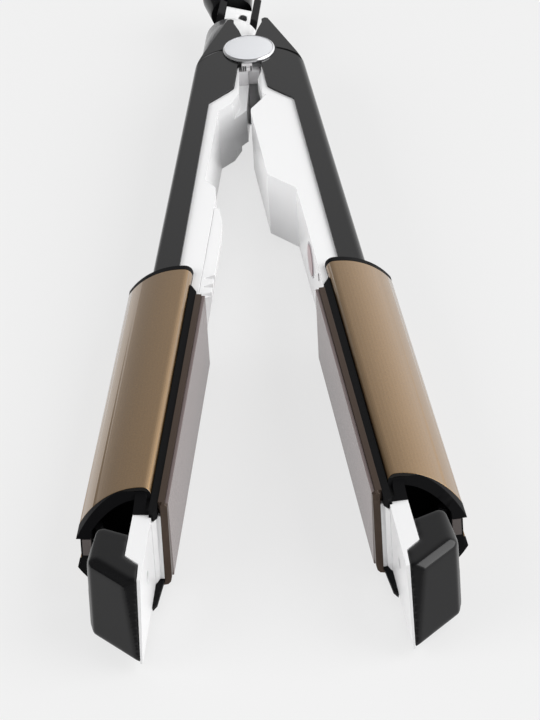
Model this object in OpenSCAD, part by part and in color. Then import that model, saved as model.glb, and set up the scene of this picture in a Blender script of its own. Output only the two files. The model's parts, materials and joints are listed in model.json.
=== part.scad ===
// Hair straightener standing open: two arms on one hinge, a rounded heated barrel on each arm,
// and a swivelling cord end behind the left arm.
// Each arm is drawn in its own frame: x runs outwards from the plane where the plates meet,
// y is minus the distance from the hinge pin, and z is up. Plan outlines are lists of
// [distance from the pin, distance outwards].

/* [Arms] */
// Angle of each arm from the middle line, as the straightener lies open
half_open = 6.32; // [4:0.02:10]
// Distance from the hinge pin to the lower corner of the tip
reach = 288.7; // [283:0.1:302]
// How far the tip reaches past the plates
tip_len = 38.7; // [38:0.1:40]
// Wall of the moulded shells
wall = 2; // [1.6:0.1:2.2]

/* [Handle] */
// Half of the height of the black shells
shell_z = 12; // [11.9:0.05:12.3]
// How much lower the white shells lie than the black ones, on each side
shell_step = 0.8; // [0.4:0.1:1.2]
// Outer side of the handle
handle_out = 17.6; // [17:0.1:18.4]
// Rounding of the handle's long outer edges
edge_round = 2; // [1.5:0.1:2]
// Seam between the black and the white shell near the barrel
seam_out = 9.5; // [9:0.1:10.5]
// How far the seam lies further out at the hinge end than at the barrel
seam_lean = 0.8; // [0:0.1:1.5]
// Inner side of the white shells beside the barrel, right arm
right_inner = 3; // [2.8:0.1:3.4]
// Inner side of the white shells beside the barrel, left arm
left_inner = 2.4; // [2.2:0.1:2.8]
// How far the right shell bulges past the plates' plane
bulge = 4.8; // [4:0.1:5.2]
// Depth of the left shell's recess that takes the bulge
recess = 6.8; // [6.5:0.1:7.2]

/* [Horns] */
// How far the horns reach behind the pin
horn_back = 22; // [20:0.5:25]
// Where the middle of the horn's blunt end lies outwards
horn_out = 8.4; // [7.6:0.1:9]
// Distance from the pin at which the outer side turns into the horn
horn_corner = 10.7; // [9:0.1:13]
// Slope of the horn's top, in degrees
horn_slope = 4; // [2:0.5:5]

/* [Hinge] */
// Radius of the hinge pin
pin_r = 2; // [1.6:0.1:2.2]
// Radial clearance of a part that turns on a pin
run_gap = 0.06; // [0.03:0.01:0.1]
// Radius of the knuckles round the pin
knuckle_r = 5.5; // [5:0.1:5.8]
// Gap between faces that slide past each other
face_gap = 0.3; // [0.2:0.05:0.4]
// Level of the top of the left arm's middle knuckle
mid_top = 4.6; // [4:0.1:5]
// Level of the bottom of the left arm's middle knuckle
mid_bottom = -7.6; // [-8:0.1:-7]
// Radius of the round covers over the pin's ends
disc_r = 8.93; // [8:0.01:10]
// Height of the dome on the round covers
dome_h = 1.7; // [1.2:0.1:1.8]
// Radius of the spring wire
wire_r = 0.45; // [0.35:0.05:0.5]
// Turns of the closing spring
spring_turns = 3; // [2:0.5:3]

/* [Barrel] */
// How far the barrel's black rim starts before the plates
barrel_lead = 14; // [13.5:0.5:16]
// Width of the black rim
rim_w = 2; // [1.5:0.1:3]
// Half of the height of the barrel
barrel_z = 13.9; // [13.6:0.1:14.2]
// Radius of the curved covers
cover_r = 20.9; // [20:0.1:22]
// Thickness of the gold covers
cover_t = 1; // [0.8:0.1:1.2]
// Radius of the covers' inner shoulder
shoulder_r = 2.5; // [2.4:0.1:3]
// Inner edge of the covers
cover_in = 5; // [4.9:0.05:5.2]
// Half of the gap between the upper and the lower cover on the outer side
cover_gap = 4.3; // [3.5:0.1:5.5]
// Wall of the black liner under the covers
liner_w = 1.4; // [1.2:0.1:1.4]
// How far the covers reach past the plates, at mid height
cover_lead = 1; // [0:0.5:2]
// Lean of the covers' front end, in degrees
cover_rake = 24; // [18:1:28]
// How far the black liner reaches past the plates, at mid height
liner_lead = 6.3; // [5.5:0.1:6.5]
// Lean of the liner's front end, in degrees
liner_rake = 9; // [6:1:10]
// Lean of the liner's upper front end, in degrees
crown_rake = 50; // [44:1:52]
// Width of the flange along the liner's open edges
flange_w = 4; // [3:0.1:4.1]

/* [Plates] */
// Length of the plates
plate_len = 100; // [97:1:101]
// Width of the plates
plate_w = 25; // [23:0.5:25.4]
// Thickness of the ceramic plate
plate_t = 1; // [0.8:0.1:1.2]
// Thickness of the channel's flange behind the plate
flange_t = 1.8; // [1.5:0.1:2]
// How much wider the channel's flange is than the plate, on each side
flange_over = 0.5; // [0.2:0.1:0.6]
// Thickness of the brown frame in front of the plate
frame_t = 2; // [1.8:0.1:2.2]
// Half of the height of the heater
heater_z = 7.5; // [6:0.1:7.6]
// Thickness of the heater
heater_t = 2; // [1.6:0.1:2.2]

/* [Tip] */
// Inner side of the white tip piece
tip_in = 4; // [3.8:0.1:4.4]
// Seam between the white and the black tip piece
tip_seam = 9.4; // [9:0.1:9.8]
// Half of the height of the tip
tip_z = 10.8; // [10.2:0.1:11]
// Outer side of the black tip cap
cap_out = 19.8; // [19.4:0.1:20]
// Distance from the tip to the cap's rear edge, at mid height
cap_len = 29.8; // [29:0.1:30]
// Turn of the cap's slanted front face, in degrees
cap_turn = 39; // [36:1:42]
// Lean of the cap's front face, in degrees
cap_rake = 11.6; // [10:0.2:13]
// Lean of the tip's narrow nose, in degrees
nose_rake = 21.7; // [20:0.1:23]
// Height of the bevel over the cap's front face
cap_bevel = 1.45; // [1:0.05:1.8]

/* [Controls] */
// How far the power button lies behind the barrel
button_back = 17; // [14.5:0.5:19]
// Level of the power button
button_z = 2.5; // [1:0.1:3]
// Radius of the power button
button_r = 4.9; // [4:0.1:5]
// Travel of the power button
button_travel = 0.8; // [0.5:0.1:0.9]
// Radius of the indicator lamp
lamp_r = 1.25; // [1:0.05:1.5]
// Length of the lock slider
slider_len = 51; // [50:0.1:51.5]
// How far the slider's front end stays behind the plate
slider_gap = 0.4; // [0.2:0.1:1]
// Height of the slider above the plates' plane
slider_h = 1.5; // [1.2:0.1:1.8]
// Travel of the lock slider
slider_travel = 5; // [3:0.5:5.5]

/* [Cord end] */
// Radius of the white collar
collar_r = 9.6; // [9:0.1:9.7]
// Where the collar's axis lies outwards
collar_out = 8.7; // [8.4:0.1:9]
// Length of the collar
collar_len = 21.3; // [20:0.1:22]
// Radius of the swivel stem in the collar
stem_r = 4.1; // [3.8:0.1:4.5]
// Radius of the swivel's round tongue
tongue_r = 7.6; // [7:0.1:7.8]
// Width of the tongue
tongue_w = 9; // [8.6:0.1:9.4]
// Distance from the pin back to the tongue's pivot
pivot_back = 36; // [35.8:0.1:38]
// Radius of the pivot pin
pivot_r = 1.5; // [1.2:0.1:1.8]
// Thickness of the fork's cheeks
cheek_t = 2.6; // [2.2:0.1:3]
// Length of the cord housing from its pivot
housing_len = 30; // [28:0.5:36]
// Radius of the cord housing's rear end
housing_r = 9; // [8.5:0.1:9.5]
// Radius of the cord bore
cord_r = 3.6; // [3:0.1:4]
// Upward tilt of the cord housing as it lies
housing_tilt = 5; // [0:1:30]
// Sideways bend of the cord housing behind its fork
housing_bend = 14; // [0:1:15]
// Turn of the swivel in the collar as it lies
swivel_turn = 13; // [0:1:20]

/* [Hidden] */
$fn = 64;
ARC = 18;

black = [0.16, 0.16, 0.17];
white = [0.94, 0.94, 0.94];
gold = [0.62, 0.50, 0.36];
brown = [0.36, 0.29, 0.26];
grey = [0.62, 0.61, 0.61];
steel = [0.72, 0.73, 0.75];
lip = 0.01;
big = 60;

white_z = shell_z - shell_step;
core_z = 9.8;
seam_hinge = seam_out + seam_lean;
bulkhead_t = handle_out - wall;
neck_s = 28;
neck_t = 4.9;
seam_turn = 35;

plate_end = reach - tip_len;
plate_start = plate_end - plate_len;
barrel_start = plate_start - barrel_lead;
cover_front = plate_end + cover_lead;
strip_end = plate_start - 2;
strip_turn = strip_end - 4;
bulge_start = 40;
bulge_end = barrel_start - 56;
recess_end = bulge_end + 2.8;
bay_start = bulge_start + wall;
button_s = barrel_start - button_back;
slider_front = plate_start - slider_gap;
slider_s = slider_front - slider_len;
latch_len = 8;
latch_s = barrel_start - 12.8;
board_len = 36.8;
board_w = 16;
board_rear = button_s - 0.6 * board_len;
plate_z = plate_w / 2;
flange_z = plate_z + flange_over;
flange_back = plate_t + flange_t;
leg_w = 1.4;
heater_back = flange_back + heater_t;
pad_t = 2;
rib_t = heater_back + pad_t;
shoulder_t = cover_in + shoulder_r;
shoulder_z = barrel_z - shoulder_r;
arc_z = barrel_z - cover_r;
lip_z = shoulder_z - 2;
leg_z = lip_z - face_gap;
leg_back = rib_t - face_gap;
front_rib = plate_end - 14;
wire_hole_r = 3;
block_z = tip_z + 0.2;
block_t = 4;
flange_in = shoulder_t + sqrt(pow(cover_r, 2) - pow(cover_gap - arc_z, 2)) - flange_w;
post_r = 1.5;
cap_rear = reach - cap_len;
frame_foot = flange_z - 1;
frame_lean = 5.7;
face_lead = 1.75;
nose_back = 4.25;

collar_front = -5.7;
collar_rear = collar_front - collar_len;
cheek_in = tongue_w / 2 + 0.15;
fork_r = 7;
fork_front = tongue_r + 1.9;
window_s = 11;
lower_knuckle = mid_bottom - face_gap;
upper_knuckle = mid_top + face_gap;
disc_seat = shell_z + 0.15;
crease_r = 16.2;
crease_at = [1.5, -14.3];

tilt_dir = [
    sin(housing_bend) * cos(swivel_turn) - cos(housing_bend) * sin(housing_tilt) * sin(swivel_turn),
    cos(housing_bend) * cos(housing_tilt)
];
tilt_dot = tilt_dir[0] * sin(half_open) + tilt_dir[1] * cos(half_open);
housing_y = pivot_back * cos(half_open) + collar_out * sin(half_open) + housing_len * tilt_dot;
rear_y = housing_y + housing_r * sqrt(1 - tilt_dot * tilt_dot);
front_y = tip_in * sin(half_open) - reach * cos(half_open);
mid_y = (rear_y + front_y) / 2;

function plan_points(list) = [for (p = list) [p[1], -p[0]]];
function arc(c, r, a0, a1, n = ARC) =
    [for (i = [0:n]) let (a = a0 + (a1 - a0) * i / n) [c[0] + r * cos(a), c[1] + r * sin(a)]];
function back(list) = [for (i = [len(list) - 1:-1:0]) list[i]];
function below(list) = [for (p = back(list)) [p[0], -p[1]]];
function horn_t(s) = handle_out - (handle_out - horn_out - 1) * (horn_corner - s) / (horn_corner + horn_back);

// Where the strip's slanted rear end lies, at a distance t outwards
function strip_s(t) = strip_end - (strip_end - strip_turn) * (t - flange_back) / (cover_in - flange_back);

// Outer line of a cover's section, moved inwards by d
function cover_line(d) = concat(
    arc([shoulder_t, arc_z], cover_r - d, asin((cover_gap - arc_z) / (cover_r - d)), 90),
    arc([shoulder_t, shoulder_z], shoulder_r - d, 90, 180, 8));

module stand() {
    translate([0, -mid_y, barrel_z]) children();
}

module right_arm() {
    stand() rotate([0, 0, half_open]) children();
}

module left_arm() {
    stand() rotate([0, 0, -half_open]) mirror([1, 0, 0]) children();
}

module plan(points, z0, z1) {
    translate([0, 0, z0]) linear_extrude(z1 - z0) polygon(plan_points(points));
}

module along(s0, s1) {
    translate([0, -s0, 0]) rotate([90, 0, 0]) linear_extrude(s1 - s0) children();
}

module box(s0, s1, t0, t1, z0, z1) {
    translate([t0, -s1, z0]) cube([t1 - t0, s1 - s0, z1 - z0]);
}

module outwards(s, z, r, t0, t1) {
    translate([t0, -s, z]) rotate([0, 90, 0]) cylinder(r = r, h = t1 - t0);
}

// Everything in front of a raked plane that is turned outwards and crosses the plates' plane,
// at mid height, at distance s
module ahead(s, rake, turn = 0) {
    translate([0, -s, 0]) rotate([0, 0, turn]) rotate([-rake, 0, 0]) translate([-2 * big, -3 * big, -big])
        cube([4 * big, 3 * big, 2 * big]);
}

module outer_shell(cut_back) {
    outline = [
        [barrel_start, seam_out], [barrel_start, handle_out], [horn_corner + 2, handle_out],
        [horn_corner - 1, horn_t(horn_corner - 1)], [-horn_back + 0.6, horn_out + 1],
        [-horn_back, horn_out], [-horn_back + 0.8, horn_out - 1.2], [-19, 7], [-13.5, 4.6], [-8, 2.8],
        [-4, 4.2], [4, 4.2], [9.6, 3], [25, 3], [neck_s, neck_t], [seam_turn, seam_hinge]
    ];
    hollow = [
        [barrel_start + 1, seam_out - wall], [barrel_start + 1, handle_out - wall],
        [horn_corner + 1.6, handle_out - wall], [horn_corner - 1, horn_t(horn_corner - 1) - wall],
        [cut_back, horn_t(cut_back) - wall], [cut_back, handle_out + 1], [-horn_back - 1, handle_out + 1],
        [-horn_back - 1, 0], [seam_turn, 0]
    ];
    color(black) difference() {
        intersection() {
            plan(outline, -shell_z, shell_z);
            along(-horn_back - 1, barrel_start + 1) polygon(concat(
                [[0, -shell_z], [0, shell_z]],
                arc([handle_out - edge_round, shell_z - edge_round], edge_round, 90, 0, 6),
                arc([handle_out - edge_round, edge_round - shell_z], edge_round, 0, -90, 6)));
        }
        plan(hollow, -core_z, core_z);
        for (side = [0, 1]) mirror([0, 0, side])
            translate([disc_r, 0, shell_z]) rotate([0, 0, -45]) rotate([horn_slope, 0, 0])
                translate([-big, 0, 0]) cube([2 * big, big, big]);
        for (side = [0, 1]) mirror([0, 0, side])
            translate([crease_at[0], crease_at[1], shell_z]) rotate([0, 0, 15]) rotate_extrude(angle = 51)
                translate([crease_r, 0]) circle(r = 0.5, $fn = 16);
    }
}

module left_inner_shell() {
    body = [
        [neck_s, 1], [34.6, 2.9], [bulge_start - 0.4, recess], [recess_end, recess],
        [recess_end + 4.2, left_inner + 0.7], [recess_end + 12.2, left_inner], [strip_end, left_inner],
        [strip_end, flange_back], [strip_turn, cover_in], [barrel_start, cover_in],
        [barrel_start, seam_out], [seam_turn, seam_hinge], [neck_s, neck_t]
    ];
    neck = [
        [collar_front, 3.4], [-3.6, 2], [11, -0.6], [neck_s, -1.3], [34.6, 2.9],
        [bulge_start - 0.4, recess], [bay_start, recess], [bay_start, bulkhead_t],
        [horn_corner + 1.6, bulkhead_t], [horn_corner - 1, horn_t(horn_corner - 1) - wall],
        [collar_front, horn_t(collar_front) - wall]
    ];
    ledge = [[window_s, 2.6], [neck_s, 1], [neck_s + 1, neck_t], [neck_s, neck_t - 0.1], [25, 2.9],
        [window_s, 2.9]];
    color(white) difference() {
        union() {
            difference() {
                plan(body, -white_z, white_z);
                hollow_under(body, bay_start, wall);
            }
            plan(neck, mid_bottom, mid_top);
            plan(ledge, mid_top - lip, white_z);
            intersection() {
                plan(neck, -core_z, core_z);
                box(20, bay_start, 2.4, handle_out, -core_z, core_z);
            }
            translate([0, 0, mid_bottom]) cylinder(r = knuckle_r, h = mid_top - mid_bottom);
        }
        translate([0, 0, mid_bottom - 1]) cylinder(r = pin_r + lip, h = mid_top - mid_bottom + 2);
        translate([0, 0, spring_z0() - face_gap]) cylinder(r = spring_room(), h = mid_top);
        box(slot_s0(), slot_s1(), left_inner - 1, left_inner + wall + 1, -slot_z(), slot_z());
    }
}

module hollow_under(points, s0, t) {
    intersection() {
        translate([t, 0, 0]) plan(points, -core_z + 0.6, core_z - 0.6);
        box(s0, barrel_start - wall, -big, big, -big, big);
    }
}

module right_inner_shell() {
    body = [
        [neck_s, 3.4], [bulge_start - 2.1, -bulge + 0.4], [bulge_start, -bulge], [bulge_end, -bulge],
        [bulge_end + 10, right_inner], [strip_s(right_inner), right_inner], [strip_turn, cover_in],
        [barrel_start, cover_in], [barrel_start, seam_out], [seam_turn, seam_hinge], [neck_s, neck_t]
    ];
    end_wall = [
        [neck_s, 3.4], [bulge_start - 2.1, -bulge + 0.4], [bulge_start, -bulge], [bay_start, -bulge],
        [bay_start, bulkhead_t], [neck_s, bulkhead_t]
    ];
    ledge = [[window_s, 2.9], [window_s, 2.6], [neck_s, 0.6], [neck_s + 2, 1.9], [neck_s + 2, neck_t],
        [neck_s, neck_t - 0.1], [25, 2.9]];
    web = [
        [-4, 0], [-4, horn_t(-4) - wall], [horn_corner - 1, horn_t(horn_corner - 1) - wall],
        [horn_corner + 1.6, bulkhead_t], [neck_s + 2, bulkhead_t], [neck_s + 2, 1.9], [neck_s, 0.6],
        [window_s + 6, 0.6], [window_s, 2.6], [window_s, 8], [6.5, 8], [6.5, 0]
    ];
    color(white) difference() {
        union() {
            difference() {
                plan(body, -white_z, white_z);
                hollow_under(body, bay_start, wall);
            }
            plan(end_wall, -core_z, core_z);
            plan(ledge, core_z - lip, white_z);
            for (level = [[upper_knuckle, core_z], [-core_z, lower_knuckle]]) {
                plan(web, level[0], level[1]);
                translate([0, 0, level[0]]) cylinder(r = knuckle_r, h = level[1] - level[0]);
            }
            for (post = board_posts()) outwards(post[0], post[1], 1.8, right_inner + 1, board_t());
        }
        translate([0, 0, -shell_z]) cylinder(r = pin_r + run_gap, h = 2 * shell_z);
        outwards(button_s, button_z, bezel_r(), right_inner - 1, right_inner + wall + 1);
        outwards(lamp_s(), lamp_z(), lamp_r, right_inner - 1, cover_in + lip);
    }
}

module cover_upper() {
    color(gold) difference() {
        along(barrel_start + rim_w, plate_end + 20)
            polygon(concat(cover_line(0), back(cover_line(cover_t))));
        ahead(cover_front, cover_rake);
    }
}

module cover_lower() {
    color(gold) difference() {
        along(barrel_start + rim_w, plate_end + 20)
            polygon(below(concat(cover_line(0), back(cover_line(cover_t)))));
        ahead(cover_front, cover_rake);
    }
}

// A cover's outer line moved inwards by d, from a level above its open edge
function liner_line(d, level) = concat(
    arc([shoulder_t, arc_z], cover_r - d, asin((level - arc_z) / (cover_r - d)), 90),
    arc([shoulder_t, shoulder_z], shoulder_r - d, 90, 180, 8));

module liner_front() {
    ahead(plate_end + liner_lead, liner_rake);
    ahead(plate_end + liner_lead + 4.4, crown_rake);
}

module liner() {
    inner = cover_t + liner_w;
    flange = [[flange_in, cover_gap], [flange_in, cover_gap + liner_w]];
    half = concat(
        cover_line(cover_t),
        [[cover_in, shoulder_z], [cover_in, lip_z], [shoulder_t - 0.1, lip_z]],
        back(liner_line(inner, cover_gap + liner_w)), back(flange));
    nose = concat(cover_line(0), back(cover_line(inner - lip)));
    inside = concat(cover_line(cover_t + liner_w / 2), [[shoulder_t, lip_z], [rib_t, lip_z]]);
    rim = concat(cover_line(0), [[cover_in, lip_z]]);
    brow = [
        [plate_end - 14, -barrel_z + cover_t + lip], [plate_end - 6, -barrel_z + cover_t + lip],
        [plate_end + 3, -tip_z - 0.4], [plate_end + 3, -tip_z - 0.1], [plate_end - 14, -tip_z - 0.1]
    ];
    color(black) difference() {
        union() {
            difference() {
                union() {
                    along(barrel_start + rim_w, plate_end + 20) polygon(concat(half, below(half)));
                    intersection() {
                        along(plate_end - 20, plate_end + 20) for (part = [nose, below(nose)]) polygon(part);
                        ahead(cover_front + 0.1, cover_rake);
                    }
                }
                liner_front();
                box(plate_end - 4, plate_end + 20, 0, tip_seam + 0.2, -tip_z - 0.5, tip_z + 0.1);
            }
            along(barrel_start, barrel_start + rim_w) polygon(concat(rim, below(rim)));
            for (s = rib_places())
                along(s, s + wall) polygon(concat(inside, below(inside)));
            translate([flange_in - post_r + 0.2, -plate_end - 0.5, -cover_gap - liner_w])
                cylinder(r = post_r, h = 2 * cover_gap + 2 * liner_w - 0.5);
            intersection() {
                translate([cover_in, 0, 0]) rotate([0, 90, 0]) linear_extrude(tip_seam - cover_in)
                    polygon([for (p = brow) [p[1], -p[0]]]);
                along(plate_end - 15, plate_end + 4)
                    polygon(concat(cover_line(cover_t), [[cover_in, shoulder_z], [cover_in, 0]]));
            }
        }
        translate([14, 1 - barrel_start, 0]) rotate([90, 0, 0])
            cylinder(r = wire_hole_r, h = front_rib - wall - barrel_start);
    }
}

module insulator() {
    upper = [
        [strip_turn, cover_in], [strip_end, flange_back], [plate_end + 2.5, flange_back],
        [plate_end + 4, flange_back + 1], [plate_end + 3, cover_in]
    ];
    lower = [
        [strip_turn, cover_in], [strip_end, flange_back], [plate_end, flange_back], [plate_end, cover_in]
    ];
    rear = [
        [strip_turn, cover_in], [strip_end, flange_back], [plate_start + 1.5, flange_back],
        [plate_start + 1.5, cover_in]
    ];
    tongue = [
        [plate_end - 1, flange_back], [plate_end, flange_back], [plate_end + 4, flange_back - 0.6],
        [plate_end + 14, flange_back + 0.2],
        [plate_end + 16, flange_back + 1.2], [plate_end + 14, cover_in - 0.3], [plate_end - 1, cover_in]
    ];
    color(black) {
        plan(upper, lip_z, plate_z);
        plan(lower, -plate_z, -lip_z);
        plan(tongue, -frame_foot, -block_z);
        plan(rear, -lip_z - lip, lip_z + lip);
    }
}

module channel() {
    frame = [
        [0.1, -flange_z + 2.6], [0.4, -flange_z + 1.2], [1.2, -flange_z + 0.3], [2.6, -flange_z],
        [cover_in - 0.2, -flange_z], [cover_in - 0.2, -frame_foot], [frame_t + 0.1, -frame_foot],
        [frame_t + 0.1, flange_z - 0.4], [1.6, flange_z], [0.8, flange_z], [0.1, flange_z - 0.7]
    ];
    color(brown) union() {
        box(plate_start, plate_end, plate_t, flange_back, -flange_z, flange_z);
        box(plate_end - 1, plate_end + lip, plate_t, frame_t, 1 - flange_z, flange_z - 1);
        difference() {
            along(plate_end, plate_end + 6) polygon(frame);
            ahead(plate_end + 2.5, frame_lean);
        }
        for (side = [0, 1]) mirror([0, 0, side])
            box(plate_start + 2, plate_end - 5, flange_back - lip, leg_back, leg_z - leg_w, leg_z);
    }
}

module plate() {
    color(grey) box(plate_start, plate_end, 0, plate_t, -plate_z, plate_z);
}

module heater() {
    color(steel) box(plate_start + 6, plate_end - 6, flange_back, heater_back, -heater_z, heater_z);
}

module heater_pads() {
    color([0.55, 0.2, 0.15]) for (s = rib_places())
        box(s - 4, s + 6, heater_back, rib_t, -heater_z + 2, heater_z - 2);
}

module end_block() {
    color(white) difference() {
        box(plate_end, plate_end + 6, frame_t + 0.1, flange_back + 1.5, -block_z, lip_z);
        ahead(plate_end + 2.6, frame_lean);
    }
}

module tip_liner() {
    outline = [
        [plate_end + block_t, tip_in + 0.3], [reach - 3, tip_in], [reach, tip_in], [reach, tip_in + 0.6],
        [reach - 15.2, tip_in + 1.4], [reach - 18.7, tip_seam], [plate_end - 3, tip_seam],
        [plate_end - 3, cover_in], [plate_end + block_t, cover_in]
    ];
    color(white) difference() {
        union() {
            plan(outline, -tip_z, tip_z);
            box(front_rib, plate_end - 3 + lip, cover_in + 3.2, tip_seam, -lip_z + 0.3, lip_z - 0.3);
        }
        outwards(screw_s(), screw_z(), 1.7, 0, tip_in + 1.6);
        outwards(screw_s(), screw_z(), 1, 0, tip_seam + 1);
        ahead(reach - nose_back, nose_rake);
    }
}

// Where the cap's front face crosses the plates' plane, at level z
function face_s(z) = reach + face_lead - z * tan(cap_rake) / cos(cap_turn);

module tip_cap() {
    outline = [
        [cap_rear + 2, tip_seam], [cap_rear - 0.8, cap_out - 3.3], [cap_rear + 0.2, cap_out - 1.2],
        [reach - 18.7, cap_out], [reach - 8, cap_out - 0.4], [reach + 1, tip_in + 0.6],
        [reach, tip_in + 0.6], [reach - 15.2, tip_in + 1.4], [reach - 18.7, tip_seam]
    ];
    round_r = 3;
    bevel_level = tip_z - cap_bevel;
    color(black) difference() {
        intersection() {
            plan(outline, -tip_z, tip_z);
            along(cap_rear - 3, reach + 1) polygon(concat(
                [[0, -tip_z], [0, tip_z]],
                arc([cap_out - round_r, tip_z - round_r], round_r, 90, 0, 8),
                arc([cap_out - round_r, round_r - tip_z], round_r, 0, -90, 8)));
        }
        ahead(reach - nose_back, nose_rake);
        ahead(reach + face_lead, cap_rake, cap_turn);
        translate([0, 0, bevel_level]) ahead(face_s(bevel_level), 55, cap_turn);
        ahead(reach + 24.7, 6, 64);
        mirror([0, 0, 1]) translate([0, 0, tip_z - 1]) ahead(face_s(1 - tip_z), 45, cap_turn);
        outwards(screw_s(), screw_z(), 0.95, tip_seam - 1, tip_seam + 6);
    }
}

module tip_screw() {
    color(steel) union() {
        outwards(screw_s(), screw_z(), 1.5, tip_in + 0.6, tip_in + 1.6);
        outwards(screw_s(), screw_z(), 0.9, tip_in + 1.5, tip_seam + 5);
    }
}

module hinge_pin() {
    color(steel) translate([0, 0, -disc_seat]) cylinder(r = pin_r, h = 2 * disc_seat);
}

module hinge_disc() {
    color(white) rotate_extrude($fn = 96) polygon(concat(
        [[0, disc_seat], [disc_r, disc_seat]],
        [for (i = [0:10]) [disc_r * cos(i * 9), disc_seat + 0.2 + (dome_h - 0.15) * sin(i * 9)]]));
}

function spring_z0() = mid_top - (spring_turns + 1) * wire_pitch();
function wire_pitch() = 2 * wire_r + 0.05;
function spring_radius() = pin_r + wire_r + 0.9;
function spring_room() = spring_radius() + wire_r + 0.3;

module closing_spring() {
    per_turn = 24;
    rings = spring_turns * per_turn;
    sides = 6;
    points = [for (i = [0:rings]) for (k = [0:sides - 1]) let (
        turn = 360 * i / per_turn, a = 360 * k / sides, r = spring_radius() + wire_r * cos(a))
        [r * cos(turn), r * sin(turn), spring_z0() + wire_r + wire_pitch() * i / per_turn + wire_r * sin(a)]];
    skin = [for (i = [0:rings - 1]) for (k = [0:sides - 1]) let (
        a = i * sides + k, b = i * sides + (k + 1) % sides)
        each [[a, a + sides, b + sides], [a, b + sides, b]]];
    first = [for (k = [1:sides - 2]) [0, k, k + 1]];
    last = [for (k = [1:sides - 2]) [rings * sides, rings * sides + k + 1, rings * sides + k]];
    color(steel) polyhedron(points = points, faces = concat(skin, first, last));
}

module spring_cover() {
    color([0.78, 0.77, 0.78]) translate([-3.9, 0, 0]) rotate([90, 0, 90]) linear_extrude(7.2)
        polygon([[-7.6, mid_top], [-7.6, core_z], [-9.8, core_z], [-10.3, core_z - 0.5], [-10.5, mid_top]]);
}

function slot_z() = 2.3;
function slot_s0() = latch_s - slider_travel - 0.2;
function slot_s1() = latch_s + latch_len + 0.2;

module lock_slider() {
    outline = [
        [slider_s, left_inner - 0.1], [slider_s, left_inner - 1.6], [slider_s + 8, -slider_h + 0.6],
        [slider_s + 18, -slider_h], [slider_front - 2.6, -slider_h], [slider_front, 1.2],
        [slider_front, left_inner - 0.1]
    ];
    color(white) difference() {
        union() {
            plan(outline, -tip_z, tip_z);
            box(latch_s, latch_s + latch_len, left_inner - 0.2, left_inner + wall + 0.2, -2, 2);
            box(latch_s - 0.8, latch_s + latch_len + 0.8, left_inner + wall + 0.2, left_inner + wall + 1.4,
                -4, 4);
        }
        for (i = [0:2]) translate([-slider_h, -slider_front + 3 + 4.6 * i, 0]) rotate([0, 0, 30])
            translate([-1.5, -0.6, -20]) cube([3.2, 1.2, 40]);
    }
}

function bezel_r() = button_r + 0.9;

module power_bezel() {
    color(grey) difference() {
        outwards(button_s, button_z, bezel_r(), right_inner - 0.2, right_inner + wall);
        outwards(button_s, button_z, button_r + 0.15, right_inner - 1, right_inner + wall + 1);
    }
}

module power_button() {
    color([0.6, 0.12, 0.14]) union() {
        outwards(button_s, button_z, button_r, right_inner - 0.4, right_inner + wall + 0.2);
        outwards(button_s, button_z, button_r + 0.6, right_inner + wall + 0.2, right_inner + wall + 1);
        outwards(button_s, button_z, 1.5, right_inner + wall + 0.9, switch_t() - button_travel - 0.1);
    }
}

function lamp_s() = barrel_start - 0.4;
function lamp_z() = 7;

module indicator_lamp() {
    color(black) outwards(lamp_s(), lamp_z(), lamp_r, right_inner - 0.2, cover_in - 0.1);
}

function board_t() = right_inner + 6;
function switch_t() = board_t() - 1.4;
function board_posts() = [[board_rear + 5, 5], [board_rear + board_len - 3, -5]];
function screw_s() = reach - 20.7;
function screw_z() = 1.8;
function rib_places() = [plate_start + 14, plate_start + plate_len / 2, front_rib - wall];

module circuit_board() {
    color([0.1, 0.35, 0.2]) union() {
        box(board_rear, board_rear + board_len, board_t(), board_t() + 1.4, -board_w / 2, board_w / 2);
        box(button_s - 3, button_s + 3, switch_t(), board_t() + lip, button_z - 3, button_z + 3);
    }
}

module backwards(s0, s1, r) {
    translate([collar_out, -s0, 0]) rotate([90, 0, 0]) cylinder(r = r, h = s1 - s0);
}

module cord_collar() {
    color(white) difference() {
        backwards(collar_rear, collar_front, collar_r);
        backwards(collar_rear - 1, collar_front - wall, stem_r + run_gap);
    }
}

module turned() {
    translate([collar_out, pivot_back, 0]) rotate([0, -swivel_turn, 0]) children();
}

module swivel_tongue() {
    color(white) turned() difference() {
        union() {
            translate([-tongue_w / 2, 0, 0]) rotate([0, 90, 0]) cylinder(r = tongue_r, h = tongue_w);
            rotate([90, 0, 0]) cylinder(r = stem_r, h = pivot_back + collar_front - wall - 0.5);
        }
        translate([-tongue_w, 0, 0]) rotate([0, 90, 0]) cylinder(r = pivot_r + lip, h = 2 * tongue_w);
        translate([-1.8, 0, 0]) rotate([24, 0, 0]) translate([0, 0, 3]) cylinder(r = 1.6, h = tongue_r);
    }
}

module pivot_pin() {
    half = cheek_in + cheek_t;
    color(steel) turned() translate([-half, 0, 0]) rotate([0, 90, 0]) cylinder(r = pivot_r, h = 2 * half);
}

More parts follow.
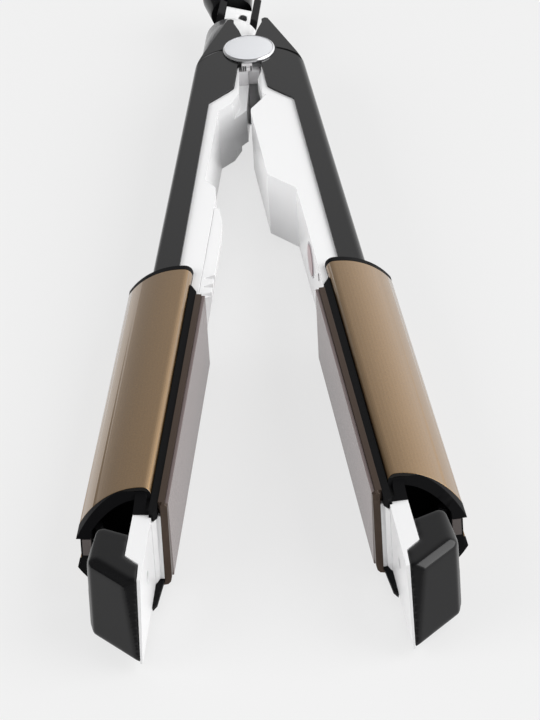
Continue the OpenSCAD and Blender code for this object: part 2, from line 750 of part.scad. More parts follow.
module cord_housing() {
    half = cheek_in + cheek_t;
    color(black) turned() rotate([housing_tilt, 0, 0]) difference() {
        union() {
            rotate([0, 0, -housing_bend]) rotate([-90, 0, 0]) rotate_extrude($fn = 64) polygon([
                [0, fork_front], [half, fork_front], [housing_r, fork_front + 10],
                [housing_r, housing_len], [0, housing_len]]);
            for (side = [0, 1]) mirror([side, 0, 0]) intersection() {
                translate([cheek_in, 0, 0]) union() {
                    rotate([0, 90, 0]) cylinder(r = fork_r - 1, h = cheek_t);
                    translate([0, 0, 1 - fork_r]) cube([cheek_t, fork_front + 3.4, 2 * fork_r - 2]);
                }
                rotate([-90, 0, 0]) translate([0, 0, -fork_r]) cylinder(r = half + 2, h = 4 * fork_r);
            }
        }
        translate([-big, 0, 0]) rotate([0, 90, 0]) cylinder(r = pivot_r + run_gap, h = 2 * big);
        rotate([0, 0, -housing_bend]) rotate([-90, 0, 0]) translate([0, 0, fork_front])
            cylinder(r = cord_r, h = housing_len);
    }
}

left_arm() outer_shell(collar_front + 0.2);  // left_outer_shell
left_arm() left_inner_shell();
left_arm() cover_upper();  // left_cover_upper
left_arm() cover_lower();  // left_cover_lower
left_arm() liner();  // left_liner
left_arm() insulator();  // left_insulator
left_arm() channel();  // left_channel
left_arm() plate();  // left_plate
left_arm() heater();  // left_heater
left_arm() heater_pads();  // left_heater_pads
left_arm() end_block();  // left_end_block
left_arm() tip_liner();  // left_tip_liner
left_arm() tip_cap();  // left_tip_cap
left_arm() tip_screw();  // left_tip_screw
right_arm() outer_shell(-10);  // right_outer_shell
right_arm() right_inner_shell();
right_arm() cover_upper();  // right_cover_upper
right_arm() cover_lower();  // right_cover_lower
right_arm() liner();  // right_liner
right_arm() insulator();  // right_insulator
right_arm() channel();  // right_channel
right_arm() plate();  // right_plate
right_arm() heater();  // right_heater
right_arm() heater_pads();  // right_heater_pads
right_arm() end_block();  // right_end_block
right_arm() tip_liner();  // right_tip_liner
right_arm() tip_cap();  // right_tip_cap
right_arm() tip_screw();  // right_tip_screw
stand() hinge_pin();
stand() hinge_disc();  // hinge_disc_top
stand() mirror([0, 0, 1]) hinge_disc();  // hinge_disc_bottom
stand() closing_spring();
stand() spring_cover();
left_arm() lock_slider();
right_arm() power_bezel();
right_arm() power_button();
right_arm() indicator_lamp();
right_arm() circuit_board();
left_arm() cord_collar();
left_arm() swivel_tongue();
left_arm() pivot_pin();
left_arm() cord_housing();
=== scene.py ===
"""Hair straightener lying open: finishes, soft edges, small details, studio and camera."""
import json
import math

import bmesh
import bpy
from mathutils import Matrix, Vector


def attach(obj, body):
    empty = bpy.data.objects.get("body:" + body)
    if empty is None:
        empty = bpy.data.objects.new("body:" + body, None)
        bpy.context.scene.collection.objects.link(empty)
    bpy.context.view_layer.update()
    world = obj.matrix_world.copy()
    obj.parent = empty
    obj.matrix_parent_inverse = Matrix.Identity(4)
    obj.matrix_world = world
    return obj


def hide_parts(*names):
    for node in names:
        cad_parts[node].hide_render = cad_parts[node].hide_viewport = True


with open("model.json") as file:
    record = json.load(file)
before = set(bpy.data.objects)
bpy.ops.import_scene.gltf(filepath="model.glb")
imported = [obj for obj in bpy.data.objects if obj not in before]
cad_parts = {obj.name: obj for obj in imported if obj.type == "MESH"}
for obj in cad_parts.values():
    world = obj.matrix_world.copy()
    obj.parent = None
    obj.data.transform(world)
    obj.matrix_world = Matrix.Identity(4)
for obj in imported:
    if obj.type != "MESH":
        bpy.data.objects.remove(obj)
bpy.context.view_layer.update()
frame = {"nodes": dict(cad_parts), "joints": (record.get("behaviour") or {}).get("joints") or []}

bl_info = {
    "name": "Hair Straightener",
    "version": (1, 0, 0),
    "blender": (4, 5, 0),
    "location": "3D View > Sidebar > Straightener",
    "description": "Finishes and details of a hair straightener, with its studio",
    "category": "Object",
}

MM = 0.001
SIDES = ("left", "right")
HINGE = Vector(next(j for j in frame["joints"] if j["name"] == "arm_hinge")["pos_m"])
HALF_OPEN = math.radians(6.32)  # from the middle to an arm, as the straightener lies

WELD_GAP = 0.01 * MM
BEVEL_FROM = math.radians(32)  # shallower edges are left alone
SHARP_FROM = math.radians(34)  # shallower edges are shaded smooth
MELT_VOXEL = 0.4 * MM
MELT_PASS = 0.1 * MM  # about what one pass of smoothing takes off an edge
BUMP_DEPTH = 0.2 * MM

FLOOR_HALF = 6.0
PAPER = (0.8, 0.8, 0.8)
PAPER_GLOW = (0.9, 0.9, 0.9)
LAMP_SIDE = 1.2
SOFTBOX_PLACE = (1.15, -0.15, 0.95)
FILL_PLACE = (-1.25, -0.3, 0.7)

# The camera was solved from the outlines of the plates and the shells.
LENS, SENSOR_WIDTH = 140.335, 36.0
CLIP_START = 0.05
CAMERA_FROM_HINGE = Vector((0.0055, -0.84458, 0.48162))
CAMERA_TURNS = (("Z", 0.31), ("X", 54.61), ("Z", -3.38))


# Places. An arm's own frame has s forwards from the hinge pin, t outwards from the plates' plane and
# z up from mid height, in millimetres; its points are written (t, -s, z). The middle's frame lies
# between the two arms, with t to the right.

def arm_frame(side):
    """Matrix from an arm's own frame, or the middle's, in millimetres, to the row frame in metres."""
    if side == "middle":
        return Matrix.Translation(HINGE) @ Matrix.Scale(MM, 4)
    turn = Matrix.Rotation(HALF_OPEN, 4, "Z") @ Matrix.Scale(MM, 4)
    if side == "left":
        turn = Matrix.Scale(-1, 4, (1, 0, 0)) @ turn
    return Matrix.Translation(HINGE) @ turn


def at(s, t, z):
    """A point of an arm's own frame."""
    return (t, -s, z)


# Shader groups that several finishes share

def set_inputs(node, values):
    """Sets the values of a node's sockets by their names."""
    for name, value in values.items():
        node.inputs[name].default_value = value


def rgba(colour):
    """A colour with full cover, as the sockets ask for."""
    return (*colour[:3], 1.0)


def maths(tree, operation, *values, clamp=False):
    """The result of a sum on numbers and on what other nodes put out."""
    node = tree.nodes.new("ShaderNodeMath")
    node.operation = operation
    node.use_clamp = clamp
    for socket, value in zip(node.inputs, values):
        if isinstance(value, bpy.types.NodeSocket):
            tree.links.new(value, socket)
        else:
            socket.default_value = value
    return node.outputs["Value"]


def noise(tree, place, scale):
    """Soft noise over a place, with about that many blots to the metre."""
    node = tree.nodes.new("ShaderNodeTexNoise")
    set_inputs(node, {"Scale": scale, "Detail": 2.0})
    tree.links.new(place, node.inputs["Vector"])
    return node.outputs["Fac"]


def group(name, inputs, outputs):
    """An empty node group with its sockets, and its two end nodes."""
    tree = bpy.data.node_groups.new(name, "ShaderNodeTree")
    for label, value in inputs:
        kind = "NodeSocketColor" if isinstance(value, tuple) else "NodeSocketFloat"
        tree.interface.new_socket(name=label, in_out="INPUT", socket_type=kind).default_value = value
    for label, kind in outputs:
        tree.interface.new_socket(name=label, in_out="OUTPUT", socket_type=kind)
    return tree, tree.nodes.new("NodeGroupInput"), tree.nodes.new("NodeGroupOutput")


SKIN_IN = [("Colour", (0.5, 0.5, 0.5, 1)), ("Clouds", 0.06), ("Grain", 0.03), ("Haze", 0.08),
           ("Roughness", 0.15)]
SKIN_OUT = [("Colour", "NodeSocketColor"), ("Roughness", "NodeSocketFloat"), ("Height", "NodeSocketFloat")]

# Each skin's name, how fine its clouds and its grain are, and how the grain is drawn out
SKINS = {
    "moulded": ("Moulded skin", 38.0, 900.0, (1, 1, 1)),
    "sprayed": ("Sprayed lacquer", 26.0, 2600.0, (1, 1, 1)),
    "drawn": ("Drawn metal", 30.0, 700.0, (1, 0.04, 1)),
}
BORDER = 12.0  # how steep the border of a second colour is
GROUPS = {}


def skin_group(name, cloud_scale, grain_scale, stretch):
    """Soft clouds and a fine grain in a colour, and the same grain in its roughness and height."""
    tree, start, end = group(name, SKIN_IN, SKIN_OUT)
    link = tree.links.new
    place = tree.nodes.new("ShaderNodeTexCoord").outputs["Object"]
    drawn = tree.nodes.new("ShaderNodeMapping")
    drawn.inputs["Scale"].default_value = stretch
    link(place, drawn.inputs["Vector"])
    clouds = noise(tree, place, cloud_scale)
    grain = noise(tree, drawn.outputs["Vector"], grain_scale)
    level = 1.0
    for pattern, amount in ((clouds, "Clouds"), (grain, "Grain")):
        around = maths(tree, "SUBTRACT", pattern, 0.5)
        level = maths(tree, "MULTIPLY_ADD", around, start.outputs[amount], level)
    tint = tree.nodes.new("ShaderNodeVectorMath")
    tint.operation = "SCALE"
    link(start.outputs["Colour"], tint.inputs[0])
    link(level, tint.inputs["Scale"])
    rough = maths(tree, "MULTIPLY_ADD", grain, start.outputs["Haze"], start.outputs["Roughness"])
    link(tint.outputs["Vector"], end.inputs["Colour"])
    link(rough, end.inputs["Roughness"])
    link(grain, end.inputs["Height"])
    return tree


def facing_group():
    """Mask of the faces that look along a direction, with a soft border, for painting light and shade onto
    a surface by which way it faces.
    """
    tree, start, end = group("Faces that look along", [("X", 0.0), ("Y", -1.0), ("Z", 0.0), ("From", 0.5)],
                             [("Mask", "NodeSocketFloat")])
    link = tree.links.new
    place = tree.nodes.new("ShaderNodeTexCoord")
    way = tree.nodes.new("ShaderNodeCombineXYZ")
    for axis in "XYZ":
        link(start.outputs[axis], way.inputs[axis])
    along = tree.nodes.new("ShaderNodeVectorMath")
    along.operation = "DOT_PRODUCT"
    link(place.outputs["Normal"], along.inputs[0])
    link(way.outputs["Vector"], along.inputs[1])
    over = maths(tree, "SUBTRACT", along.outputs["Value"], start.outputs["From"])
    link(maths(tree, "MULTIPLY", over, BORDER, clamp=True), end.inputs["Mask"])
    return tree


def shared(name):
    """A shader group, built when a finish first asks for it."""
    if name not in GROUPS:
        GROUPS[name] = facing_group() if name == "facing" else skin_group(*SKINS[name])
    return GROUPS[name]


# Finishes

def finish(name, colour, skin="moulded", rough=0.15, haze=0.08, clouds=0.06, grain=0.03, relief=0.02,
           metal=0.0, specular=0.5, coat=0.0, coat_rough=0.03, second=None):
    """A finish on one of the shared skins.

    clouds and grain say how much the colour changes over the surface, haze how much the roughness does,
    and relief how strongly the grain stands out. second holds a second colour, for the faces that look
    along its way, from the cosine in start on; it paints light and shade by which way a face looks.
    """
    mat = bpy.data.materials.new(name)
    mat.use_nodes = True
    nodes, link = mat.node_tree.nodes, mat.node_tree.links.new
    shader = nodes["Principled BSDF"]
    set_inputs(shader, {"Roughness": rough, "Metallic": metal, "Specular IOR Level": specular,
                        "Coat Weight": coat, "Coat Roughness": coat_rough})
    surface = nodes.new("ShaderNodeGroup")
    surface.node_tree = shared(skin)
    set_inputs(surface, {"Colour": rgba(colour), "Haze": haze, "Roughness": rough, "Clouds": clouds,
                         "Grain": grain})
    tone = surface.outputs["Colour"]
    if second:
        mask = nodes.new("ShaderNodeGroup")
        mask.node_tree = shared("facing")
        set_inputs(mask, {**dict(zip("XYZ", second["way"])), "From": second["start"]})
        mix = nodes.new("ShaderNodeMix")
        mix.data_type = "RGBA"
        mix.inputs["B"].default_value = rgba(second["colour"])
        link(mask.outputs["Mask"], mix.inputs["Factor"])
        link(tone, mix.inputs["A"])
        tone = mix.outputs["Result"]
    link(tone, shader.inputs["Base Color"])
    if haze:
        link(surface.outputs["Roughness"], shader.inputs["Roughness"])
    if relief:
        bump = nodes.new("ShaderNodeBump")
        set_inputs(bump, {"Strength": relief, "Distance": BUMP_DEPTH})
        link(surface.outputs["Height"], bump.inputs["Height"])
        link(bump.outputs["Normal"], shader.inputs["Normal"])
    return mat


def clean_white(name, rough, share=1.0):
    """White moulding, a share as bright as the white shells. It has no grain, which would sparkle."""
    white = [share * level for level in colours().white]
    return finish(name, white, rough=rough, haze=0.0, clouds=0.01, grain=0.0, relief=0.0)


# Edges and dressing

def soften(obj, width, segments=2):
    """Rounds the edges a little, as moulding or pressing leaves them."""
    edge = obj.modifiers.new("Soft edges", "BEVEL")
    edge.width = width
    edge.segments = segments
    edge.limit_method = "ANGLE"
    edge.angle_limit = BEVEL_FROM
    edge.harden_normals = True


def melt(obj, radius):
    """Rounds every edge of a thick moulding generously, the shallow ones too."""
    grid = obj.modifiers.new("Even mesh", "REMESH")
    grid.mode = "VOXEL"
    grid.voxel_size = MELT_VOXEL
    grid.use_smooth_shade = True
    relax = obj.modifiers.new("Round edges", "SMOOTH")
    relax.factor = 0.5
    relax.iterations = round(radius / MELT_PASS)


def dress(node, mat, soft=0.0, segments=2):
    """Gives a solid its finish and, where soft is set, its rounded edges."""
    obj = frame["nodes"][node]
    obj.data.materials.clear()
    obj.data.materials.append(mat)
    weld = obj.modifiers.new("Weld", "WELD")
    weld.merge_threshold = WELD_GAP
    if soft:
        soften(obj, soft, segments)


def both(node, mat, soft=0.0):
    """Dresses the same solid of both arms."""
    for side in SIDES:
        dress(f"{side}_{node}", mat, soft)


# Shapes of the small pieces, all in millimetres

def prism(mesh, outline, low, high, rake=0.0):
    """A plan outline of (s, t) points raised from one level to another, its top moved forwards by rake."""
    base = [mesh.verts.new(at(s, t, low)) for s, t in outline]
    top = [mesh.verts.new(at(s + rake, t, high)) for s, t in outline]
    mesh.faces.new(base)
    mesh.faces.new(top)
    for i in range(len(base)):
        j = (i + 1) % len(base)
        mesh.faces.new((base[i], base[j], top[j], top[i]))


def slab(mesh, s, t, z):
    """An upright block between two limits along each direction."""
    prism(mesh, [(s[0], t[0]), (s[1], t[0]), (s[1], t[1]), (s[0], t[1])], *z)


def turned(mesh, profile, centre=(0, 0), steps=96):
    """A closed profile of (radius, level) points turned about an upright axis at (s, t)."""
    rings = []
    for i in range(steps):
        a = 2 * math.pi * i / steps
        rings.append([mesh.verts.new(at(centre[0] + r * math.cos(a), centre[1] + r * math.sin(a), z))
                      for r, z in profile])
    for i, ring in enumerate(rings):
        after = rings[(i + 1) % steps]
        for j in range(len(profile)):
            k = (j + 1) % len(profile)
            mesh.faces.new((ring[j], ring[k], after[k], after[j]))


def piece(name, body, mat, build, side="left", soft=0.0):
    """Builds a small piece in an arm's frame, or the middle's, and hangs it on its body."""
    mesh = bmesh.new()
    build(mesh)
    mesh.transform(arm_frame(side))
    bmesh.ops.recalc_face_normals(mesh, faces=mesh.faces)
    data = bpy.data.meshes.new(name)
    mesh.to_mesh(data)
    mesh.free()
    data.materials.append(mat)
    obj = bpy.data.objects.new(name, data)
    bpy.context.scene.collection.objects.link(obj)
    data.shade_smooth()
    data.set_sharp_from_angle(angle=SHARP_FROM)
    if soft:
        soften(obj, soft)
    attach(obj, body)
    return obj


# Settings

class StraightenerColours(bpy.types.PropertyGroup):
    """Colours of the straightener's finishes"""
    black: bpy.props.FloatVectorProperty(
        name="Black shells", description="Polished black of the handles, tip caps and cord housing",
        subtype="COLOR", size=3, min=0, max=1, default=(0.004, 0.004, 0.0045))
    white: bpy.props.FloatVectorProperty(
        name="White shells", description="Polished white of the inner shells, tips, slider and swivel",
        subtype="COLOR", size=3, min=0, max=1, default=(0.9, 0.9, 0.905))
    gold: bpy.props.FloatVectorProperty(
        name="Barrel covers", description="Satin gold-brown lacquer of the covers", subtype="COLOR",
        size=3, min=0, max=1, default=(0.33, 0.20, 0.085))
    liner: bpy.props.FloatVectorProperty(
        name="Liner", description="Matte black of the barrel's liner", subtype="COLOR",
        size=3, min=0, max=1, default=(0.003, 0.003, 0.0035))
    brown: bpy.props.FloatVectorProperty(
        name="Channel", description="Brown anodised channel behind the plates", subtype="COLOR",
        size=3, min=0, max=1, default=(0.06, 0.038, 0.026))
    ceramic: bpy.props.FloatVectorProperty(
        name="Plate face", description="Grey ceramic coat of the plates", subtype="COLOR",
        size=3, min=0, max=1, default=(0.185, 0.145, 0.142))


class StraightenerEdges(bpy.types.PropertyGroup):
    """How far the edges are rounded"""
    shell: bpy.props.FloatProperty(
        name="Shell edges", description="Rounding of the black and white shells", subtype="DISTANCE",
        precision=5, min=0, max=0.6 * MM, default=0.3 * MM)
    cap: bpy.props.FloatProperty(
        name="Tip cap edges", description="Rounding of the tip caps, about as far as a radius",
        subtype="DISTANCE", precision=5, min=0.5 * MM, max=2 * MM, default=1.5 * MM)
    metal: bpy.props.FloatProperty(
        name="Metal edges", description="Rounding of the covers and the plates", subtype="DISTANCE",
        precision=5, min=0, max=0.4 * MM, default=0.2 * MM)


class StraightenerStudio(bpy.types.PropertyGroup):
    """Light of the studio"""
    sky: bpy.props.FloatProperty(
        name="Sky", description="Strength of the white surroundings", min=0, max=2, default=0.72)
    slant: bpy.props.FloatProperty(
        name="Slant", description="How much brighter the surroundings are on the right",
        subtype="FACTOR", min=0, max=1, default=0.6)
    softbox: bpy.props.FloatProperty(
        name="Softbox", description="Power of the softbox on the right", subtype="POWER", min=0,
        default=15.0)
    fill: bpy.props.FloatProperty(
        name="Fill", description="Power of the fill light on the left, which leaves no reflections",
        subtype="POWER", min=0, default=15.0)
    paper: bpy.props.FloatProperty(
        name="Paper glow", description="Share of the floor's own even tone", subtype="FACTOR", min=0,
        max=1, default=0.78)


def colours():
    return bpy.context.scene.straightener_colours


def edges():
    return bpy.context.scene.straightener_edges


# Pieces

class STRAIGHTENER_OT_handles(bpy.types.Operator):
    """Dress the black outer shells and the white inner shells"""
    bl_idname = "straightener.handles"
    bl_label = "Dress the handles"

    def execute(self, context):
        both("outer_shell", finish("Polished black", colours().black, rough=0.13, haze=0.06, specular=0.42),
             edges().shell)
        both("inner_shell", clean_white("Polished white", rough=0.22), edges().shell)
        return {"FINISHED"}


class STRAIGHTENER_OT_barrels(bpy.types.Operator):
    """Dress the covers, liners, insulators, channels, plates, heaters and their pads"""
    bl_idname = "straightener.barrels"
    bl_label = "Dress the barrels"

    def execute(self, context):
        paint = colours()
        # Painted shade: the faces of the covers that look to the front are painted nearly black, where they
        # fall dark.
        front_painted_shade = {"way": (0, -1, 0), "start": 0.45, "colour": (0.012, 0.01, 0.008)}
        gold = finish("Gold lacquer", paint.gold, "sprayed", rough=0.3, haze=0.1, clouds=0.08, grain=0.5,
                      relief=0.03, metal=1.0, coat=1.0, coat_rough=0.06, second=front_painted_shade)
        matte = finish("Matte black", paint.liner, rough=0.5, haze=0.1, relief=0.06, specular=0.1)
        brown = finish("Brown anodised", paint.brown, "drawn", rough=0.32, haze=0.1, clouds=0.1,
                       grain=0.15, relief=0.03, metal=0.5)
        face = finish("Grey ceramic", paint.ceramic, "sprayed", rough=0.24, haze=0.02, grain=0.08,
                      relief=0.003, specular=0.22)
        heater = finish("Heater ceramic", (0.62, 0.6, 0.56), rough=0.6, grain=0.1)
        silicone = finish("Silicone", (0.3, 0.08, 0.05), rough=0.55, grain=0.1, relief=0.08)
        both("cover_upper", gold, edges().metal)
        both("cover_lower", gold, edges().metal)
        both("liner", matte, soft=0.15 * MM)
        both("insulator", matte, soft=0.3 * MM)
        both("channel", brown, soft=0.3 * MM)
        both("plate", face, edges().metal)
        both("heater", heater)
        both("heater_pads", silicone, soft=0.2 * MM)
        return {"FINISHED"}


class STRAIGHTENER_OT_tips(bpy.types.Operator):
    """Dress the tips, round their caps, and add the white webs and the ends of the brown metal"""
    bl_idname = "straightener.tips"
    bl_label = "Dress the tips"

    def execute(self, context):
        white = clean_white("White tip", rough=0.3, share=0.95)
        shield = finish("Shield brown", (0.13, 0.11, 0.105), "drawn", rough=0.35, metal=0.3)
        both("tip_cap", finish("Glossy cap black", colours().black, rough=0.14, haze=0.06, specular=0.32))
        both("tip_liner", white, soft=0.2 * MM)
        both("end_block", white, soft=0.3 * MM)
        # Painted shade: the screws are painted far darker than steel, for the shade of their recesses.
        both("tip_screw", finish("Screw steel in painted shade", (0.04, 0.036, 0.036), "drawn", rough=0.4, metal=0.7),
             soft=0.1 * MM)
        for side in SIDES:
            melt(frame["nodes"][f"{side}_tip_cap"], edges().cap)
            piece(f"{side}_tip_web", f"{side}_arm", white, self.web, side)
            piece(f"{side}_heat_shield", f"{side}_arm", shield, self.heat_shield, side)
        return {"FINISHED"}

    def web(self, mesh):
        """The moulded web between an end block and the tip's liner."""
        outline = [(253.4, 3.2), (255.8, 4.1), (255.8, 4.6), (251, 4.9), (251, 4.32), (252.9, 4.32)]
        prism(mesh, outline, low=-10.8, high=9.3, rake=-0.9)

    def heat_shield(self, mesh):
        """The end of the brown metal seen between the two covers."""
        outline = [(255.9, 21.0), (256.5, 21.0), (256.5, 23.4), (255.9, 23.4)]
        prism(mesh, outline, low=-0.6, high=4.2, rake=-0.77)


class STRAIGHTENER_OT_hinge(bpy.types.Operator):
    """Dress the hinge, and add the rims of its discs, the spring's clip with painted shade in its slots,
    and painted light on its cover's lit half
    """
    bl_idname = "straightener.hinge"
    bl_label = "Dress the hinge"

    def execute(self, context):
        pearl = finish("Pearly disc", (0.75, 0.76, 0.785), rough=0.18, clouds=0.04)
        rim = finish("Bright rim", (0.9, 0.9, 0.92), rough=0.06, haze=0.04, metal=1.0)
        steel = finish("Bright steel", (0.6, 0.6, 0.62), "drawn", rough=0.25, metal=1.0)
        grey = finish("Grey moulding", (0.60, 0.59, 0.60), rough=0.3)
        # Painted shade for the slots of the spring's clip.
        dark = finish("Slot painted shade", (0.05, 0.05, 0.052), rough=0.4)
        # The pale tab's own colour, and painted light on the lit half of the spring's cover.
        pale = finish("Pale moulding and painted light", (0.82, 0.81, 0.82), rough=0.3)
        for node in ("hinge_disc_top", "hinge_disc_bottom"):
            dress(node, pearl)
        for node in ("hinge_pin", "closing_spring"):
            dress(node, steel)
        dress("spring_cover", grey, soft=0.2 * MM)
        for name, mat, build in (("spring_clip", grey, self.clip),
                                 ("spring_clip_slot_shade", dark, self.clip_slot_shade),
                                 ("spring_clip_tab", pale, self.clip_tab),
                                 ("spring_cover_painted_lit_half", pale, self.cover_painted_lit_half)):
            piece(name, "left_arm", mat, build, "middle")
        for name, way in (("disc_rim_top", 1), ("disc_rim_bottom", -1)):
            piece(name, "left_arm", rim, lambda mesh, way=way: self.disc_rim(mesh, way))
        return {"FINISHED"}

    def clip(self, mesh):
        """The clip that holds the spring, in front of the disc."""
        slab(mesh, s=(8.8, 10.6), t=(-2.7, 0.8), z=(9.8, 11.9))

    def clip_slot_shade(self, mesh):
        """Painted shade: three dark strips on the clip's face, for the shade in its slots."""
        half = 0.22
        for middle in (-2.2, -1.5, 0.4):
            slab(mesh, s=(10.4, 10.66), t=(middle - half, middle + half), z=(9.95, 11.75))

    def clip_tab(self, mesh):
        """The pale tab in the lower part of the clip's face."""
        slab(mesh, s=(10.4, 10.8), t=(-1.2, 0.1), z=(9.8, 10.9))

    def cover_painted_lit_half(self, mesh):
        """Painted light: a paler strip over the lit half of the spring's cover."""
        slab(mesh, s=(10.7, 11.05), t=(-3.9, -0.7), z=(4.7, 9.75))

    def disc_rim(self, mesh, way):
        """A raised rim along the edge of a domed disc: the upper one, or the lower where way is -1."""
        disc_radius, disc_edge, disc_rise = 8.93, 12.35, 1.55

        def dome(r):
            return disc_edge + disc_rise * math.sqrt(max(0.0, 1 - (r / disc_radius) ** 2))

        profile = [(8.2, dome(8.2) - 0.2), (8.24, dome(8.2) + 0.1), (8.34, dome(8.3) + 0.2),
                   (8.55, dome(8.5) + 0.24), (8.8, dome(8.75) + 0.14), (8.98, 12.5), (8.98, 12.2),
                   (8.4, 12.2)]
        turned(mesh, [(r, way * z) for r, z in profile])


class STRAIGHTENER_OT_controls(bpy.types.Operator):
    """Make the lock slider and dress the power button, its ring, its lamp and its board"""
    bl_idname = "straightener.controls"
    bl_label = "Dress the controls"

    def execute(self, context):
        slider = piece("lock_slider_face", "lock_slider",
                       clean_white("Slider white", rough=0.25), self.slider, soft=0.15 * MM)
        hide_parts("lock_slider")
        dress("power_bezel", finish("Bezel grey", (0.42, 0.40, 0.42), rough=0.2), soft=0.1 * MM)
        dress("power_button", finish("Button red", (0.45, 0.33, 0.34), rough=0.3, clouds=0.15),
              soft=0.25 * MM)
        dress("indicator_lamp", finish("Lamp lens", (0.16, 0.14, 0.15), rough=0.1, coat=1.0),
              soft=0.1 * MM)
        dress("circuit_board", finish("Board green", (0.02, 0.13, 0.06), "drawn", rough=0.4, grain=0.6))
        return {"FINISHED"}

    def slider(self, mesh):
        """The ribbed slider. Its face is upright near the top and leans back from the bend to its foot."""
        top, bend, foot = 10.8, 7.8, -10.8
        rear, front, back = 98.6, 149.6, 2.36
        crest, groove = -1.5, 1.3
        ribs = [point for s in (136.4, 141.0, 145.6)
                for point in ((s, crest), (s + 1.5, groove), (s + 2.1, groove), (s + 2.1, crest))]
        outline = [(rear, 0.8), (106.6, -0.9), (116.6, crest), *ribs, (front, 1.2), (front, back),
                   (rear, back)]
        upper, lower = ([mesh.verts.new(at(s, t, z)) for s, t in outline] for z in (top, bend))
        # Face and back meet at the foot, in one vertex for each s of the outline.
        foot_edge = {s: mesh.verts.new(at(s, back, foot)) for s in sorted({s for s, _ in outline})}
        mesh.faces.new(upper)
        for i, (s, t) in enumerate(outline):
            j = (i + 1) % len(outline)
            after_s, after_t = outline[j]
            mesh.faces.new((upper[i], upper[j], lower[j], lower[i]))
            if t == after_t == back:
                below = foot_edge.values()
            else:
                below = dict.fromkeys((foot_edge[after_s], foot_edge[s]))
            mesh.faces.new((lower[i], lower[j], *below))


class STRAIGHTENER_OT_cord_end(bpy.types.Operator):
    """Dress the collar with painted light and shade, the swivel and the cord's housing, and add painted
    shade in the swivel's screw hole
    """
    bl_idname = "straightener.cord_end"
    bl_label = "Dress the cord end"

    def execute(self, context):
        white = colours().white
        # The pin's own dark, which also paints the shade in the swivel's screw hole.
        dark = finish("Dark pin and painted hole shade", (0.02, 0.02, 0.022), rough=0.3)
        # Painted light and shade: the collar is painted dark, and white on its faces that look up and to
        # the right, where the light falls.
        upper_right_painted_light = {"way": (0.5, 0, 0.87), "start": 0.72, "colour": white}
        collar = finish("Collar painted light and shade", (0.06, 0.06, 0.063), rough=0.12, haze=0.0, relief=0.0,
                        second=upper_right_painted_light)
        housing = finish("Housing black", colours().black, rough=0.1, haze=0.05, specular=0.22)
        dress("cord_collar", collar, soft=0.4 * MM)
        dress("swivel_tongue", finish("Swivel white", white, rough=0.25, clouds=0.02), soft=0.8 * MM,
              segments=3)
        dress("pivot_pin", dark, soft=0.1 * MM)
        dress("cord_housing", housing, soft=0.6 * MM, segments=3)
        piece("swivel_hole_shade", "swivel", dark, self.swivel_hole_shade)
        return {"FINISHED"}

    def swivel_hole_shade(self, mesh):
        """Painted shade: a dark ring in the swivel's screw hole, for the shade inside it."""
        inner, outer, low, high = 0.3, 1.4, 5.0, 6.5
        turned(mesh, [(inner, low), (inner, high), (outer, high), (outer, low)], centre=(-34.8, 5.2),
               steps=32)


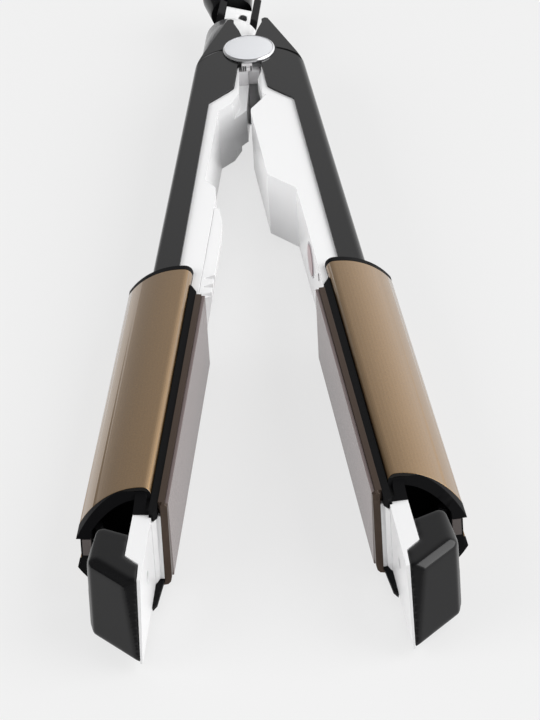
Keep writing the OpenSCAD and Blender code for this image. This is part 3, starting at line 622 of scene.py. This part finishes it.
class STRAIGHTENER_OT_stage(bpy.types.Operator):
    """Set up the floor, the lights and the camera"""
    bl_idname = "straightener.stage"
    bl_label = "Set up the studio"

    def execute(self, context):
        scene = context.scene
        studio = scene.straightener_studio
        scene.view_settings.view_transform = "Standard"
        self.add_floor(scene, studio.paper)
        self.add_world(scene, studio.sky, studio.slant)
        self.add_lamp(scene, "Softbox", SOFTBOX_PLACE, studio.softbox)
        self.add_lamp(scene, "Fill", FILL_PLACE, studio.fill, mirrored=False)
        self.add_camera(scene)
        return {"FINISHED"}

    def add_floor(self, scene, glow):
        """A flat sheet of plain paper, far wider than the view."""
        mesh = bpy.data.meshes.new("Floor")
        corners = [(x * FLOOR_HALF, y * FLOOR_HALF, 0) for x, y in ((-1, -1), (1, -1), (1, 1), (-1, 1))]
        mesh.from_pydata(corners, [], [(0, 1, 2, 3)])
        floor = bpy.data.objects.new("Floor", mesh)
        scene.collection.objects.link(floor)
        mesh.materials.append(self.paper(glow))

    def paper(self, glow):
        """Plain paper. Part of its tone is even for the camera and in reflections, so it stays pale."""
        mat = bpy.data.materials.new("Pale paper")
        mat.use_nodes = True
        mat.cycles.emission_sampling = "NONE"
        tree = mat.node_tree
        nodes, link = tree.nodes, tree.links.new
        shader = nodes["Principled BSDF"]
        set_inputs(shader, {"Base Color": rgba(PAPER), "Roughness": 1.0, "Specular IOR Level": 0.0})
        even = nodes.new("ShaderNodeEmission")
        even.inputs["Color"].default_value = rgba(PAPER_GLOW)
        ray = nodes.new("ShaderNodeLightPath")
        seen = maths(tree, "MAXIMUM", ray.outputs["Is Camera Ray"], ray.outputs["Is Glossy Ray"])
        mix = nodes.new("ShaderNodeMixShader")
        link(maths(tree, "MULTIPLY", seen, glow), mix.inputs["Fac"])
        link(shader.outputs["BSDF"], mix.inputs[1])
        link(even.outputs["Emission"], mix.inputs[2])
        link(mix.outputs["Shader"], nodes["Material Output"].inputs["Surface"])
        return mat

    def add_world(self, scene, strength, slant):
        """White surroundings, brighter on the right, darker overhead and behind the camera."""
        world = bpy.data.worlds.new("Studio")
        world.use_nodes = True
        tree = world.node_tree
        nodes, link = tree.nodes, tree.links.new
        way = nodes.new("ShaderNodeTexCoord")
        parts = nodes.new("ShaderNodeSeparateXYZ")
        link(way.outputs["Generated"], parts.inputs["Vector"])
        level = maths(tree, "MULTIPLY_ADD", parts.outputs["X"], slant, strength)
        for axis, start, stop, least in (("Z", 0.5, 0.9, 0.3), ("Y", -0.4, -0.8, 0.45)):
            fade = nodes.new("ShaderNodeMapRange")
            fade.interpolation_type = "SMOOTHSTEP"
            set_inputs(fade, {"From Min": start, "From Max": stop, "To Min": 1.0, "To Max": least})
            link(parts.outputs[axis], fade.inputs["Value"])
            level = maths(tree, "MULTIPLY", level, fade.outputs["Result"])
        link(level, nodes["Background"].inputs["Strength"])
        nodes["Background"].inputs["Color"].default_value = (1, 1, 1, 1)
        scene.world = world

    def add_lamp(self, scene, name, place, watts, mirrored=True):
        """A square soft light that looks at the object. One that isn't mirrored leaves no reflections."""
        lamp = bpy.data.lights.new(name, "AREA")
        lamp.shape = "SQUARE"
        lamp.size = LAMP_SIDE
        lamp.energy = watts
        obj = bpy.data.objects.new(name, lamp)
        obj.location = place
        obj.visible_glossy = mirrored
        obj.rotation_euler = (-Vector(place)).to_track_quat("-Z", "Y").to_euler()
        scene.collection.objects.link(obj)

    def add_camera(self, scene):
        """The camera of the photo, with its turns made one after another."""
        data = bpy.data.cameras.new("Camera")
        data.lens = LENS
        data.sensor_width = SENSOR_WIDTH
        data.clip_start = CLIP_START
        camera = bpy.data.objects.new("Camera", data)
        place = Matrix.Translation(HINGE + CAMERA_FROM_HINGE)
        for axis, degrees in CAMERA_TURNS:
            place = place @ Matrix.Rotation(math.radians(degrees), 4, axis)
        camera.matrix_world = place
        scene.collection.objects.link(camera)
        scene.camera = camera


STEPS = (STRAIGHTENER_OT_handles, STRAIGHTENER_OT_barrels, STRAIGHTENER_OT_tips, STRAIGHTENER_OT_hinge,
         STRAIGHTENER_OT_controls, STRAIGHTENER_OT_cord_end, STRAIGHTENER_OT_stage)


class STRAIGHTENER_PT_panel(bpy.types.Panel):
    """Steps and settings of the straightener"""
    bl_idname = "STRAIGHTENER_PT_panel"
    bl_label = "Hair straightener"
    bl_space_type = "VIEW_3D"
    bl_region_type = "UI"
    bl_category = "Straightener"

    def draw(self, context):
        scene = context.scene
        for step in STEPS:
            self.layout.operator(step.bl_idname)
        for settings in (scene.straightener_colours, scene.straightener_edges, scene.straightener_studio):
            for name in settings.bl_rna.properties.keys():
                if name not in ("rna_type", "name"):
                    self.layout.prop(settings, name)


CLASSES = (StraightenerColours, StraightenerEdges, StraightenerStudio, *STEPS, STRAIGHTENER_PT_panel)


def register():
    for cls in CLASSES:
        bpy.utils.register_class(cls)
    bpy.types.Scene.straightener_colours = bpy.props.PointerProperty(type=StraightenerColours)
    bpy.types.Scene.straightener_edges = bpy.props.PointerProperty(type=StraightenerEdges)
    bpy.types.Scene.straightener_studio = bpy.props.PointerProperty(type=StraightenerStudio)


def unregister():
    del bpy.types.Scene.straightener_colours
    del bpy.types.Scene.straightener_edges
    del bpy.types.Scene.straightener_studio
    for cls in reversed(CLASSES):
        bpy.utils.unregister_class(cls)


def main():
    """Makes the whole scene."""
    register()
    bpy.ops.straightener.handles()
    bpy.ops.straightener.barrels()
    bpy.ops.straightener.tips()
    bpy.ops.straightener.hinge()
    bpy.ops.straightener.controls()
    bpy.ops.straightener.cord_end()
    bpy.ops.straightener.stage()


if __name__ == "__main__":
    main()
